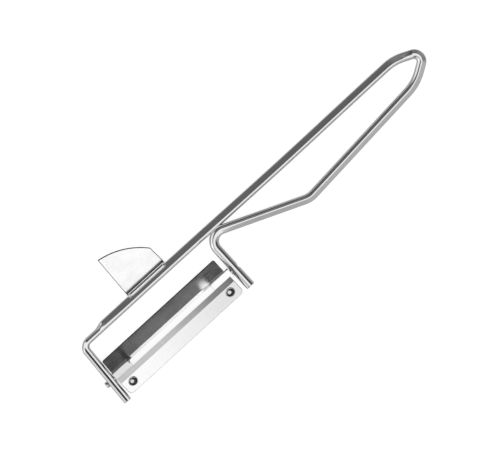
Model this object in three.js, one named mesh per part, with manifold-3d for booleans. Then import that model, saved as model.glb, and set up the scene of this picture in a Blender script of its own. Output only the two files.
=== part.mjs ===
// A swivel peeler: one bent wire frame, a slotted blade head that turns between its legs
// and a welded eye remover. Sizes are millimetres.
// The pieces are drawn with the arm's centre line on the X axis and the left leg at X = 0,
// the legs running towards -Y. The whole group is then moved to put its origin at the bottom centre of its box.
import * as THREE from "three";
import { mergeVertices } from "three/addons/utils/BufferGeometryUtils.js";
import Module from "manifold-3d";

// The wire and its centre line.
const WIRE_DIAMETER = 3.8;
const WIRE_SIDES = 16;
const BEND_STEP_DEG = 11;
const LEG_SPACING = 64.4;
const LEFT_LEG_LENGTH = 28.3;
const LEFT_LEG_LEAN_DEG = 3;
const RIGHT_LEG_LENGTH = 27.5;
const LEFT_CORNER_RADIUS = 3.5;
const ARM_LENGTH = 164.7;
const LOOP_START_RADIUS = 17;
const TIP_REACH = 11.9;
const TIP_OFFSET = 5.3;
const TIP_RADIUS = 2.9;
const RETURN_START = 0.5;
const RETURN_OFFSET = 12.5;
const RETURN_RADIUS = 19;
const KNEE_DISTANCE = 40.2;
const KNEE_RADIUS = 8.5;
const NECK_ANGLE_DEG = 22.8;
const WELD_BEND_RADIUS = 4.9;
const WELD_SINK = 0.6;

// The left leg and corner are pressed flatter on their outer side,
// deeper along the arm, up to a shoulder there.
const PRESSED_LEG_DEPTH = 0.5;
const PRESSED_ARM_DEPTH = 0.95;
const PRESSED_ARM_LENGTH = 8.7;
const SHOULDER_LENGTH = 4.6;

// The pivot axis and its pins.
const PIVOT_DROP = 18.2;
const PIN_DIAMETER = 2;
const LEG_HOLE_CLEARANCE = 0.1;
const EAR_HOLE_CLEARANCE = 0.06;
const PIN_HEAD_DIAMETER = 3.2;
const PIN_HEAD_HEIGHT = 0.6;
const LEFT_PIN_PROUD = 1.2;
const RIGHT_PIN_RECESS = 0.3;
const PIN_CHAMFER = 0.3;
const PIN_HEAD_CHAMFER = 0.2;

// The blade carrier, across the pivot axis: distances towards the blade are plus, towards the arm minus.
const CARRIER_THICKNESS = 0.8;
const BAR_EDGE = 8.2;
const BAR_CREST = 2.2;
const BAR_CREST_RADIUS = 1.4;
const BAR_SLOPE_DEG = 25;
const BAR_LIP_DEG = 22;
const SLOT_EDGE = 1.4;
const RIDGE_OFFSET = 1.4;
const RIDGE_HEIGHT = 4.24;
const RIDGE_RADIUS = 3;
const FLANK_DEG = 32;
const PLATE_DEG = 27;
const WINDOW_EDGE = 3.6;
const FLANGE_EDGE = 8.6;
const EAR_HALF_WIDTH = 2.1;
const EAR_DROP = 1.65;
const EAR_GAP = 0.25;
const EAR_SWEEP = 3;
const EAR_BURY = 0.44;
const EAR_INSET = 0.05;
const FLANK_SETBACK_LEFT = 0.25;
const FLANK_SETBACK_RIGHT = 1.75;
const SLOT_START = 8.45;
const SLOT_LENGTH = 43.1;
const BAR_RAMP = 3.3;

// The cutting blade and its rivets.
const BLADE_THICKNESS = 0.8;
const BLADE_WIDTH = 8.7;
const BLADE_EDGE = 1.05;
const BLADE_SETBACK_LEFT = 0.1;
const BLADE_SETBACK_RIGHT = 1.25;
const BLADE_CORNER_RADIUS = 1.8;
const BEVEL_WIDTH = 2.2;
const EDGE_LAND = 0.08;
const LAYER_GAP = 0.05;
const RIVET_SETBACK = 4.7;
const RIVET_INSET_LEFT = 4.15;
const RIVET_INSET_RIGHT = 4.1;
const RIVET_SHANK_DIAMETER = 2.2;
const RIVET_HOLE_CLEARANCE = 0.06;
const RIVET_HEAD_DIAMETER = 4;
const RIVET_HEAD_HEIGHT = 0.45;
const RIVET_DIMPLE_DIAMETER = 3.2;
const RIVET_DIMPLE_DEPTH = 0.3;
const RIVET_TAIL_DIAMETER = 3.4;
const RIVET_TAIL_HEIGHT = 0.5;
const RIVET_CHAMFER = 0.2;

// The eye remover: a curled flange on the wire, a valley fold and a flat fin rising from it.
const FIN_THICKNESS = 0.75;
const FIN_START = 26.4;
const FIN_WIDTH = 19.4;
const FIN_TIP_INSET = 0.9;
const FIN_TIP_REACH = 20.2;
const FIN_SIDE_INSET = 0.3;
const FIN_SIDE_REACH = 10.2;
const FIN_BULGE = 1.9;
const FIN_RISE_DEG = 25;
const FLANGE_TOP_DEG = 61;
const FLANGE_FOLD_DEG = 5;
const FLANGE_GAP = 0.15;
const FOLD_RADIUS = 0.9;

// The steps round a curve, how far a cut runs past its piece, and how near points merge.
const ROUND_SIDES = 24;
const CURVE_STEPS = 12;
const FLAT_STEPS = 2;
const CREST_STEPS = 3;
const RAMP_STEPS = 4;
const RIDGE_STEPS = 7;
const EAR_STEPS = 8;
const FLANGE_STEPS = 6;
const FOLD_STEPS = 7;
const CUT_OVERRUN = 4;
const MERGE_DISTANCE = 1e-4;

const wasm = await Module();
wasm.setup();

const radians = THREE.MathUtils.degToRad;
const wireRadius = WIRE_DIAMETER / 2;

const wireSteel = new THREE.MeshStandardMaterial({ color: 0xd6d8da, roughness: 0.16, metalness: 1 });
const sheetSteel = new THREE.MeshStandardMaterial({ color: 0xc9ccce, roughness: 0.26, metalness: 1 });
const bladeSteel = new THREE.MeshStandardMaterial({ color: 0xd2d4d6, roughness: 0.34, metalness: 1 });
const rivetSteel = new THREE.MeshStandardMaterial({ color: 0xbfc2c4, roughness: 0.3, metalness: 1 });

// Turns a geometry into a solid that can be joined, cut and intersected.
function solidFrom(geometry) {
  const bare = geometry.index ? geometry.toNonIndexed() : geometry.clone();
  const points = new THREE.BufferGeometry().setAttribute("position", bare.getAttribute("position"));
  const merged = mergeVertices(points, MERGE_DISTANCE);
  const mesh = new wasm.Mesh({
    numProp: 3,
    vertProperties: merged.attributes.position.array,
    triVerts: new Uint32Array(merged.index.array),
  });
  return new wasm.Manifold(mesh);
}

function geometryFrom(solid) {
  const mesh = solid.getMesh();
  const geometry = new THREE.BufferGeometry();
  geometry.setAttribute("position", new THREE.BufferAttribute(mesh.vertProperties, 3));
  geometry.setIndex(new THREE.BufferAttribute(mesh.triVerts, 1));
  return geometry;
}

function indexedGeometry(positions, triangles) {
  const geometry = new THREE.BufferGeometry();
  geometry.setAttribute("position", new THREE.Float32BufferAttribute(positions, 3));
  geometry.setIndex(triangles);
  return geometry;
}

function rod(radius, length) {
  return new THREE.CylinderGeometry(radius, radius, length, ROUND_SIDES);
}

// Points along a bent line. Each corner is [x, y, radius], with radius 0 where the line has no bend.
function bentLine(corners) {
  const points = [];
  corners.forEach(([x, y, radius], i) => {
    const here = new THREE.Vector2(x, y);
    if (!radius) {
      points.push(here);
      return;
    }
    const back = new THREE.Vector2(...corners[i - 1]).sub(here).normalize();
    const ahead = new THREE.Vector2(...corners[i + 1]).sub(here).normalize();
    const half = back.angleTo(ahead) / 2;
    const inward = back.clone().add(ahead).normalize();
    const centre = here.clone().addScaledVector(inward, radius / Math.sin(half));
    const first = here.clone().addScaledVector(back, radius / Math.tan(half));
    const turn = (Math.PI - 2 * half) * -Math.sign(back.cross(ahead));
    const steps = Math.ceil(Math.abs(turn) / radians(BEND_STEP_DEG));
    for (let k = 0; k <= steps; k++) {
      points.push(first.clone().rotateAround(centre, (turn * k) / steps));
    }
  });
  return points;
}

// A wire swept along points in the XY plane. pressAt gives how far its left side is pressed in at a point.
function wireSolid(points, pressAt) {
  const positions = [];
  const triangles = [];
  const corner = wireRadius / Math.cos(Math.PI / WIRE_SIDES);
  const last = points.length - 1;
  points.forEach((point, i) => {
    const way = new THREE.Vector2();
    if (i > 0) {
      way.add(point.clone().sub(points[i - 1]).normalize());
    }
    if (i < last) {
      way.add(points[i + 1].clone().sub(point).normalize());
    }
    way.normalize();
    const pressed = (wireRadius - pressAt(point)) / wireRadius;
    for (let k = 0; k < WIRE_SIDES; k++) {
      const angle = (2 * Math.PI * (k + 0.5)) / WIRE_SIDES;
      const side = corner * Math.cos(angle) * (Math.cos(angle) > 0 ? pressed : 1);
      positions.push(point.x - way.y * side, point.y + way.x * side, corner * Math.sin(angle));
    }
  });
  for (let i = 0; i < last; i++) {
    for (let k = 0; k < WIRE_SIDES; k++) {
      const a = i * WIRE_SIDES + k;
      const b = i * WIRE_SIDES + ((k + 1) % WIRE_SIDES);
      triangles.push(a, b, b + WIRE_SIDES, a, b + WIRE_SIDES, a + WIRE_SIDES);
    }
  }
  const end = last * WIRE_SIDES;
  for (let k = 1; k < WIRE_SIDES - 1; k++) {
    triangles.push(0, k + 1, k, end, end + k, end + k + 1);
  }
  return solidFrom(indexedGeometry(positions, triangles));
}

// A bent sheet on a grid of columns (x) and rows. Cells that filled refuses stay open.
function sheetSolid(columns, rows, topPoint, underPoint, filled) {
  const positions = [];
  const triangles = [];
  columns.forEach((x) => {
    rows.forEach((row) => positions.push(...topPoint(x, row), ...underPoint(x, row)));
  });
  const top = (i, j) => 2 * (i * rows.length + j);
  const quad = (a, b, c, d) => triangles.push(a, b, c, a, c, d);
  const has = (i, j) => {
    const inside = i >= 0 && j >= 0 && i < columns.length - 1 && j < rows.length - 1;
    return inside && filled((columns[i] + columns[i + 1]) / 2, (rows[j] + rows[j + 1]) / 2);
  };
  const wall = (p, q) => quad(q, p, p + 1, q + 1);
  for (let i = 0; i < columns.length - 1; i++) {
    for (let j = 0; j < rows.length - 1; j++) {
      if (!has(i, j)) continue;
      const [a, b, c, d] = [top(i, j), top(i, j + 1), top(i + 1, j + 1), top(i + 1, j)];
      quad(a, b, c, d);
      quad(a + 1, d + 1, c + 1, b + 1);
      if (!has(i - 1, j)) wall(a, b);
      if (!has(i, j + 1)) wall(b, c);
      if (!has(i + 1, j)) wall(c, d);
      if (!has(i, j - 1)) wall(d, a);
    }
  }
  return solidFrom(indexedGeometry(positions, triangles));
}

// Height and slope of a roof with a rounded ridge, at a distance across it.
function roof(ridgeAt, ridgeHeight, radius, leftDeg, rightDeg) {
  const left = radians(leftDeg);
  const right = radians(rightDeg);
  const reach = radius * Math.tan((left + right) / 2);
  const start = ridgeAt - reach * Math.cos(left);
  const centreAt = start + radius * Math.sin(left);
  const centreHeight = ridgeHeight - reach * Math.sin(left) - radius * Math.cos(left);
  const end = ridgeAt + reach * Math.cos(right);
  return (at) => {
    if (at <= start) return [ridgeHeight + (at - ridgeAt) * Math.tan(left), Math.tan(left)];
    if (at >= end) return [ridgeHeight - (at - ridgeAt) * Math.tan(right), -Math.tan(right)];
    const rise = Math.sqrt(radius * radius - (at - centreAt) ** 2);
    return [centreHeight + rise, -(at - centreAt) / rise];
  };
}

// The wire frame. The neck's bend lies against the arm and is sunk into it a little by its weld.
const leanX = Math.tan(radians(LEFT_LEG_LEAN_DEG));
const bendHalf = radians(90 - NECK_ANGLE_DEG) / 2;
const bendY = WELD_BEND_RADIUS + WIRE_DIAMETER - WELD_SINK - WELD_BEND_RADIUS / Math.tan(bendHalf);
const kneeX = LEG_SPACING + KNEE_DISTANCE;
const kneeY = bendY + KNEE_DISTANCE * Math.tan(radians(NECK_ANGLE_DEG));
const returnX = ARM_LENGTH + RETURN_START;
const joinX = (returnX + kneeX) / 2;
const joinY = (RETURN_OFFSET + kneeY) / 2;
const handleLine = bentLine([
  [-LEFT_LEG_LENGTH * leanX, -LEFT_LEG_LENGTH, 0],
  [0, 0, LEFT_CORNER_RADIUS],
  [ARM_LENGTH, 0, LOOP_START_RADIUS],
  [ARM_LENGTH + TIP_REACH, -TIP_OFFSET, TIP_RADIUS],
  [returnX, -RETURN_OFFSET, RETURN_RADIUS],
  [joinX, -joinY, 0],
]);
const neckLine = bentLine([
  [joinX, -joinY, 0],
  [kneeX, -kneeY, KNEE_RADIUS],
  [LEG_SPACING, -bendY, WELD_BEND_RADIUS],
  [LEG_SPACING, -RIGHT_LEG_LENGTH, 0],
]);

// Two points on the arm mark the shoulder where the pressed part ends.
const shoulderX = LEFT_CORNER_RADIUS + PRESSED_ARM_LENGTH;
const armStart = handleLine.findIndex((point) => point.x > shoulderX / 2);
handleLine.splice(
  armStart,
  0,
  new THREE.Vector2(shoulderX - SHOULDER_LENGTH, 0),
  new THREE.Vector2(shoulderX, 0),
);
const pressAt = ({ x, y }) => {
  const onArm = THREE.MathUtils.clamp(1 + y / LEFT_CORNER_RADIUS, 0, 1);
  const depth = THREE.MathUtils.lerp(PRESSED_LEG_DEPTH, PRESSED_ARM_DEPTH, onArm);
  return depth * THREE.MathUtils.clamp((shoulderX - x) / SHOULDER_LENGTH, 0, 1);
};

const leftLegX = -PIVOT_DROP * leanX;
const pinRadius = PIN_DIAMETER / 2;
const legHole = (x) => {
  const hole = rod(pinRadius + LEG_HOLE_CLEARANCE, WIRE_DIAMETER + 2 * CUT_OVERRUN).rotateZ(Math.PI / 2);
  return solidFrom(hole.translate(x, -PIVOT_DROP, 0));
};
const frameSolid = wireSolid(handleLine, pressAt)
  .add(wireSolid(neckLine, () => 0))
  .subtract(legHole(leftLegX))
  .subtract(legHole(LEG_SPACING));

// The blade head lies between the legs' inner faces, with an ear next to each.
const leftEarX = leftLegX + wireRadius + EAR_GAP + EAR_SWEEP * leanX;
const rightEarX = LEG_SPACING - wireRadius - EAR_GAP;
const flankLeftX = leftEarX + FLANK_SETBACK_LEFT;
const flankRightX = rightEarX - FLANK_SETBACK_RIGHT;
const slotLeftX = leftEarX + SLOT_START;
const slotRightX = slotLeftX + SLOT_LENGTH;

const endRoof = roof(-RIDGE_OFFSET, RIDGE_HEIGHT, RIDGE_RADIUS, FLANK_DEG, PLATE_DEG);
const barEdgeHeight = endRoof(-BAR_EDGE)[0];
const barCrestHeight = barEdgeHeight + (BAR_EDGE - BAR_CREST) * Math.tan(radians(BAR_SLOPE_DEG));
const barRoof = roof(-BAR_CREST, barCrestHeight, BAR_CREST_RADIUS, BAR_SLOPE_DEG, BAR_LIP_DEG);

// How far the guard bar is pressed down at x: not at all at the end bridges, fully along the slot.
function barShare(x) {
  const inside = Math.min(x - slotLeftX, slotRightX - x);
  return THREE.MathUtils.smoothstep(inside, 0, BAR_RAMP);
}

// A point on the carrier's section, sunk by depth below its upper face.
function carrierPoint(x, at, depth) {
  const [endHeight, endSlope] = endRoof(at);
  const share = at <= -SLOT_EDGE ? barShare(x) : 0;
  const [barHeight, barSlope] = barRoof(at);
  const height = THREE.MathUtils.lerp(endHeight, barHeight, share);
  const slope = THREE.MathUtils.lerp(endSlope, barSlope, share);
  const tilt = Math.atan(slope);
  return [x, -PIVOT_DROP - at - depth * Math.sin(tilt), height - depth * Math.cos(tilt)];
}

// Evenly spaced values from one to another, the last one left out.
function spread(from, to, count) {
  return Array.from({ length: count }, (_, k) => from + ((to - from) * k) / count);
}

const carrierColumns = [
  leftEarX,
  flankLeftX,
  ...spread(slotLeftX, slotLeftX + BAR_RAMP, RAMP_STEPS),
  slotLeftX + BAR_RAMP,
  ...spread(slotRightX - BAR_RAMP, slotRightX, RAMP_STEPS),
  slotRightX,
  flankRightX,
  rightEarX,
];
const carrierRows = [
  ...spread(-BAR_EDGE, -BAR_CREST - BAR_CREST_RADIUS / 2, FLAT_STEPS),
  ...spread(-BAR_CREST - BAR_CREST_RADIUS / 2, -EAR_HALF_WIDTH, CREST_STEPS),
  ...spread(-EAR_HALF_WIDTH, -SLOT_EDGE, FLAT_STEPS),
  ...spread(-SLOT_EDGE, EAR_HALF_WIDTH, RIDGE_STEPS),
  EAR_HALF_WIDTH,
  WINDOW_EDGE,
  FLANGE_EDGE,
];
const carrierSheet = sheetSolid(
  carrierColumns,
  carrierRows,
  (x, at) => carrierPoint(x, at, 0),
  (x, at) => carrierPoint(x, at, CARRIER_THICKNESS),
  (x, at) => {
    if (x < flankLeftX || x > flankRightX) return Math.abs(at) < EAR_HALF_WIDTH;
    const overSlot = x > slotLeftX && x < slotRightX;
    return !(overSlot && at > -SLOT_EDGE && at < WINDOW_EDGE);
  },
);

// A shape drawn across the pivot axis, as a slab of some thickness that ends at x.
function slabAcross(shape, thickness, x) {
  const slab = new THREE.ExtrudeGeometry(shape, {
    depth: thickness,
    bevelEnabled: false,
    curveSegments: CURVE_STEPS,
  });
  const turn = new THREE.Matrix4().makeBasis(
    new THREE.Vector3(0, -1, 0),
    new THREE.Vector3(0, 0, 1),
    new THREE.Vector3(-1, 0, 0),
  );
  return slab.applyMatrix4(turn).translate(x, -PIVOT_DROP, 0);
}

// The ear's outline: round below the pivot, its top buried in the sheet above it.
function earSolid(x) {
  const outline = new THREE.Shape();
  outline.absellipse(0, 0, EAR_HALF_WIDTH, EAR_DROP, Math.PI, 2 * Math.PI, false, 0);
  for (const at of spread(EAR_HALF_WIDTH, -EAR_HALF_WIDTH, EAR_STEPS).concat(-EAR_HALF_WIDTH)) {
    outline.lineTo(at, endRoof(at)[0] - EAR_BURY);
  }
  outline.closePath();
  return solidFrom(slabAcross(outline, CARRIER_THICKNESS, x));
}

const earLeft = earSolid(leftEarX + CARRIER_THICKNESS + EAR_INSET);
const earRight = earSolid(rightEarX - EAR_INSET);
const earHoles = rod(pinRadius + EAR_HOLE_CLEARANCE, 2 * LEG_SPACING).rotateZ(Math.PI / 2);

// The blade's own directions: down its slope, and out of its upper face.
const plateTilt = radians(PLATE_DEG);
const downSlope = new THREE.Vector3(0, -Math.cos(plateTilt), -Math.sin(plateTilt));
const outOfPlate = new THREE.Vector3(0, -Math.sin(plateTilt), Math.cos(plateTilt));
const bladeLeftX = leftEarX + BLADE_SETBACK_LEFT;
const bladeRightX = rightEarX - BLADE_SETBACK_RIGHT;
const edgeHeight = RIDGE_HEIGHT - (BLADE_EDGE + RIDGE_OFFSET) * Math.tan(plateTilt);
const edgePoint = new THREE.Vector3(0, -PIVOT_DROP - BLADE_EDGE, edgeHeight);
edgePoint.addScaledVector(outOfPlate, LAYER_GAP);
const topOfEdge = edgePoint.clone().addScaledVector(outOfPlate, BLADE_THICKNESS);
const bladeFrame = new THREE.Matrix4()
  .makeBasis(new THREE.Vector3(1, 0, 0), downSlope, outOfPlate.clone().negate())
  .setPosition(topOfEdge);

const bladeOutline = new THREE.Shape();
bladeOutline.moveTo(bladeLeftX, 0);
bladeOutline.lineTo(bladeRightX, 0);
bladeOutline.lineTo(bladeRightX, BLADE_WIDTH - BLADE_CORNER_RADIUS);
bladeOutline.absarc(
  bladeRightX - BLADE_CORNER_RADIUS,
  BLADE_WIDTH - BLADE_CORNER_RADIUS,
  BLADE_CORNER_RADIUS,
  0,
  Math.PI / 2,
  false,
);
bladeOutline.absarc(
  bladeLeftX + BLADE_CORNER_RADIUS,
  BLADE_WIDTH - BLADE_CORNER_RADIUS,
  BLADE_CORNER_RADIUS,
  Math.PI / 2,
  Math.PI,
  false,
);
bladeOutline.closePath();
const bladePlate = new THREE.ExtrudeGeometry(bladeOutline, {
  depth: BLADE_THICKNESS,
  bevelEnabled: false,
  curveSegments: CURVE_STEPS,
});

// Everything above the ground bevel's plane, drawn across the slope and run along the blade.
const bevelFall = BLADE_THICKNESS - EDGE_LAND;
const bevelDepth = (s) => bevelFall * (1 - s / BEVEL_WIDTH);
const aboveBevel = new THREE.Shape([
  new THREE.Vector2(-CUT_OVERRUN, bevelDepth(-CUT_OVERRUN)),
  new THREE.Vector2(-CUT_OVERRUN, -CUT_OVERRUN),
  new THREE.Vector2(BEVEL_WIDTH + CUT_OVERRUN, -CUT_OVERRUN),
  new THREE.Vector2(BEVEL_WIDTH + CUT_OVERRUN, bevelDepth(BEVEL_WIDTH + CUT_OVERRUN)),
]);
const bevelCut = new THREE.ExtrudeGeometry(aboveBevel, { depth: LEG_SPACING, bevelEnabled: false });
bevelCut.applyMatrix4(
  new THREE.Matrix4().makeBasis(
    new THREE.Vector3(0, 1, 0),
    new THREE.Vector3(0, 0, 1),
    new THREE.Vector3(1, 0, 0),
  ),
);

const rivetXs = [bladeLeftX + RIVET_INSET_LEFT, bladeRightX - RIVET_INSET_RIGHT];
const stack = BLADE_THICKNESS + LAYER_GAP + CARRIER_THICKNESS;
function rivetHole(x) {
  const holeRadius = RIVET_SHANK_DIAMETER / 2 + RIVET_HOLE_CLEARANCE;
  const hole = rod(holeRadius, 2 * (stack + CUT_OVERRUN)).rotateX(Math.PI / 2);
  return solidFrom(hole.translate(x, RIVET_SETBACK, 0).applyMatrix4(bladeFrame));
}

const bladeSolid = rivetXs.reduce(
  (solid, x) => solid.subtract(rivetHole(x)),
  solidFrom(bladePlate.applyMatrix4(bladeFrame)).subtract(solidFrom(bevelCut.applyMatrix4(bladeFrame))),
);
const carrierSolid = rivetXs.reduce(
  (solid, x) => solid.subtract(rivetHole(x)),
  carrierSheet
    .add(earLeft)
    .add(earRight)
    .subtract(solidFrom(earHoles.translate(LEG_SPACING / 2, -PIVOT_DROP, 0))),
);

// A tubular rivet: flat tail under the carrier, shank, and a rim with a dimple on the blade's upper face.
function rivetGeometry(x) {
  const shank = RIVET_SHANK_DIAMETER / 2;
  const tail = RIVET_TAIL_DIAMETER / 2;
  const head = RIVET_HEAD_DIAMETER / 2;
  const dimple = RIVET_DIMPLE_DIAMETER / 2;
  const under = -stack - LAYER_GAP;
  const profile = [
    [0, under - RIVET_TAIL_HEIGHT],
    [tail - RIVET_CHAMFER, under - RIVET_TAIL_HEIGHT],
    [tail, under - RIVET_TAIL_HEIGHT + RIVET_CHAMFER],
    [tail, under],
    [shank, under],
    [shank, LAYER_GAP],
    [head, LAYER_GAP],
    [head, RIVET_HEAD_HEIGHT - RIVET_CHAMFER],
    [(head + dimple) / 2, RIVET_HEAD_HEIGHT],
    [dimple, RIVET_HEAD_HEIGHT],
    [dimple - RIVET_CHAMFER, RIVET_HEAD_HEIGHT - RIVET_DIMPLE_DEPTH],
    [0, RIVET_HEAD_HEIGHT - RIVET_DIMPLE_DEPTH],
  ];
  const rivet = new THREE.LatheGeometry(profile.map(([r, h]) => new THREE.Vector2(r, h)), ROUND_SIDES);
  return rivet.rotateX(-Math.PI / 2).translate(x, RIVET_SETBACK, 0).applyMatrix4(bladeFrame);
}

// A pin turned about the pivot axis: a head inside the ear and a journal that runs through ear and leg.
function pinGeometry(headX, endX) {
  const length = Math.abs(endX - headX);
  const profile = [
    [0, 0],
    [PIN_HEAD_DIAMETER / 2 - PIN_HEAD_CHAMFER, 0],
    [PIN_HEAD_DIAMETER / 2, PIN_HEAD_CHAMFER],
    [PIN_HEAD_DIAMETER / 2, PIN_HEAD_HEIGHT],
    [pinRadius, PIN_HEAD_HEIGHT],
    [pinRadius, length - PIN_CHAMFER],
    [pinRadius - PIN_CHAMFER, length],
    [0, length],
  ];
  const pin = new THREE.LatheGeometry(profile.map(([r, h]) => new THREE.Vector2(r, h)), ROUND_SIDES);
  const towards = endX > headX ? -1 : 1;
  return pin.rotateZ((towards * Math.PI) / 2).translate(headX, -PIVOT_DROP, 0);
}

const headBehindEar = CARRIER_THICKNESS + EAR_INSET + LAYER_GAP + PIN_HEAD_HEIGHT;
const leftPinEnd = leftLegX - (wireRadius - PRESSED_LEG_DEPTH) - LEFT_PIN_PROUD;
const rightPinEnd = LEG_SPACING + wireRadius - RIGHT_PIN_RECESS;

// The eye remover's section, followed along the middle of the sheet from the flange's top edge to the tip.
const flangeRadius = wireRadius / Math.cos(Math.PI / WIRE_SIDES) + FLANGE_GAP + FIN_THICKNESS / 2;
const foldAngle = radians(FLANGE_FOLD_DEG);
const foldCentre = new THREE.Vector2(Math.cos(foldAngle), Math.sin(foldAngle)).multiplyScalar(
  flangeRadius + FOLD_RADIUS,
);
const finRise = radians(FIN_RISE_DEG);
const finMiddle = [];
for (const angle of spread(radians(FLANGE_TOP_DEG), foldAngle, FLANGE_STEPS)) {
  const out = new THREE.Vector2(Math.cos(angle), Math.sin(angle));
  finMiddle.push({ point: out.clone().multiplyScalar(flangeRadius), out });
}
const foldStart = Math.PI + foldAngle;
const foldEnd = 1.5 * Math.PI + finRise;
for (const angle of spread(foldStart, foldEnd, FOLD_STEPS).concat(foldEnd)) {
  const away = new THREE.Vector2(Math.cos(angle), Math.sin(angle));
  finMiddle.push({ point: foldCentre.clone().addScaledVector(away, FOLD_RADIUS), out: away.negate() });
}
const finFlat = finMiddle[finMiddle.length - 1];
const finWay = new THREE.Vector2(Math.cos(finRise), Math.sin(finRise));
finMiddle.push({
  point: finFlat.point.clone().addScaledVector(finWay, FIN_TIP_REACH / Math.cos(finRise)),
  out: finFlat.out,
});
const offset = (side) => ({ point, out }) => point.clone().addScaledVector(out, (side * FIN_THICKNESS) / 2);
const finSection = new THREE.Shape([
  ...finMiddle.map(offset(1)),
  ...finMiddle.map(offset(-1)).reverse(),
]);
const finStrip = new THREE.ExtrudeGeometry(finSection, { depth: FIN_WIDTH, bevelEnabled: false });
finStrip.applyMatrix4(
  new THREE.Matrix4().makeBasis(
    new THREE.Vector3(0, 1, 0),
    new THREE.Vector3(0, 0, 1),
    new THREE.Vector3(1, 0, 0),
  ),
);
finStrip.translate(FIN_START, 0, 0);

// The outline seen from above, which trims the strip to a blade with one sharp tip and a curved outer edge.
const finEnd = FIN_START + FIN_WIDTH;
const tip = new THREE.Vector2(FIN_START + FIN_TIP_INSET, FIN_TIP_REACH);
const side = new THREE.Vector2(finEnd - FIN_SIDE_INSET, FIN_SIDE_REACH);
const chord = side.clone().sub(tip);
const bulge = new THREE.Vector2(-chord.y, chord.x).normalize().multiplyScalar(2 * FIN_BULGE);
const pull = tip.clone().add(side).multiplyScalar(0.5).add(bulge);
const finOutline = new THREE.Shape();
finOutline.moveTo(FIN_START - CUT_OVERRUN, -WIRE_DIAMETER);
finOutline.lineTo(finEnd + CUT_OVERRUN, -WIRE_DIAMETER);
finOutline.lineTo(finEnd + CUT_OVERRUN, foldCentre.x);
finOutline.lineTo(finEnd, foldCentre.x);
finOutline.lineTo(side.x, side.y);
finOutline.quadraticCurveTo(pull.x, pull.y, tip.x, tip.y);
finOutline.lineTo(FIN_START, foldCentre.x);
finOutline.lineTo(FIN_START - CUT_OVERRUN, foldCentre.x);
finOutline.closePath();
const finPrism = new THREE.ExtrudeGeometry(finOutline, {
  depth: 2 * FIN_TIP_REACH,
  bevelEnabled: false,
  curveSegments: CURVE_STEPS,
});
finPrism.translate(0, 0, -FIN_TIP_REACH);
const finSolid = solidFrom(finStrip).intersect(solidFrom(finPrism));

const peeler = new THREE.Group();
function addPiece(name, geometry, material) {
  const piece = new THREE.Mesh(geometry, material);
  piece.name = name;
  peeler.add(piece);
}

addPiece("handle_frame", geometryFrom(frameSolid), wireSteel);
addPiece("eye_remover", geometryFrom(finSolid), sheetSteel);
addPiece("blade_carrier", geometryFrom(carrierSolid), sheetSteel);
addPiece("cutting_blade", geometryFrom(bladeSolid), bladeSteel);
addPiece("blade_rivet_left", rivetGeometry(rivetXs[0]), rivetSteel);
addPiece("blade_rivet_right", rivetGeometry(rivetXs[1]), rivetSteel);
addPiece("pivot_pin_left", pinGeometry(leftEarX + headBehindEar, leftPinEnd), rivetSteel);
addPiece("pivot_pin_right", pinGeometry(rightEarX - headBehindEar, rightPinEnd), rivetSteel);

// The origin is the bottom centre of the whole peeler's box.
const box = new THREE.Box3().setFromObject(peeler);
const middle = box.getCenter(new THREE.Vector3());
peeler.position.set(-middle.x, -middle.y, -box.min.z);

export default peeler;
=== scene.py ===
"""Looks for an all-metal wire peeler: bright wire, stamped sheet, ground blade and rivets."""

import math

import bmesh
import bpy
from mathutils import Matrix, Vector


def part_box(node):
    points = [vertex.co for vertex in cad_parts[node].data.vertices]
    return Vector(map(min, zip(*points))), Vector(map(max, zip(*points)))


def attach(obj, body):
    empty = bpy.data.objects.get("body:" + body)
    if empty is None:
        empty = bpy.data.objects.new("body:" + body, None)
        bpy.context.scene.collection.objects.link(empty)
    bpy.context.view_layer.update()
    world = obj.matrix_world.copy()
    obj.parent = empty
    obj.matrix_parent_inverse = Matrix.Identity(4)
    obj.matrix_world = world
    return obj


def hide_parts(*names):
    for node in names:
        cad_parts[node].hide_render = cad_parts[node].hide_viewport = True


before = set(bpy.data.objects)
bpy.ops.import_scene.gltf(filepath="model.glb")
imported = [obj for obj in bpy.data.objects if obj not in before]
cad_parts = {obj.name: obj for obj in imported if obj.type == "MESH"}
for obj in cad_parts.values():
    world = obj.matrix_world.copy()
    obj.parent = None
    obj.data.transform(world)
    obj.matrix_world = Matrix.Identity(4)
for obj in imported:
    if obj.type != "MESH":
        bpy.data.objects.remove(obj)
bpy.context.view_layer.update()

MM = 0.001
LEAST_STEP = 1e-6

# The wire and its centre line, in millimetres: the arm lies on the X axis and the left leg at X = 0.
WIRE_RADIUS = 1.9
WIRE_SIDES = 96
BEND_STEP_DEG = 3
STRAIGHT_STEP = 6
LEG_SPACING = 64.4
LEFT_LEG_LENGTH = 28.3
LEFT_LEG_LEAN_DEG = 3
RIGHT_LEG_LENGTH = 27.5
LEFT_CORNER_RADIUS = 3.5
ARM_LENGTH = 164.7
ARM_BOW = 0.3
ARM_BOW_START = 50
ARM_BOW_END = 160
LOOP_START_RADIUS = 17
TIP_REACH = 11.9
TIP_OFFSET = 5.3
TIP_RADIUS = 2.9
RETURN_START = 0.5
RETURN_OFFSET = 12.5
RETURN_RADIUS = 19
KNEE_DISTANCE = 40.2
KNEE_RADIUS = 8.5
NECK_ANGLE_DEG = 22.8
WELD_BEND_RADIUS = 4.9
WELD_SINK = 0.6
PRESSED_LEG_DEPTH = 0.5
PRESSED_ARM_DEPTH = 0.95
PRESSED_ARM_LENGTH = 8.7
SHOULDER_LENGTH = 4.6
SHOULDER_STEPS = 12
WIRE_SHARP_DEG = 40

# The wire's cut ends are rounded in rings, at these shares of the rounding's depth.
END_ROUNDING = 0.45
END_RING_SHARES = (0.07, 0.3, 0.62)

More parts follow.
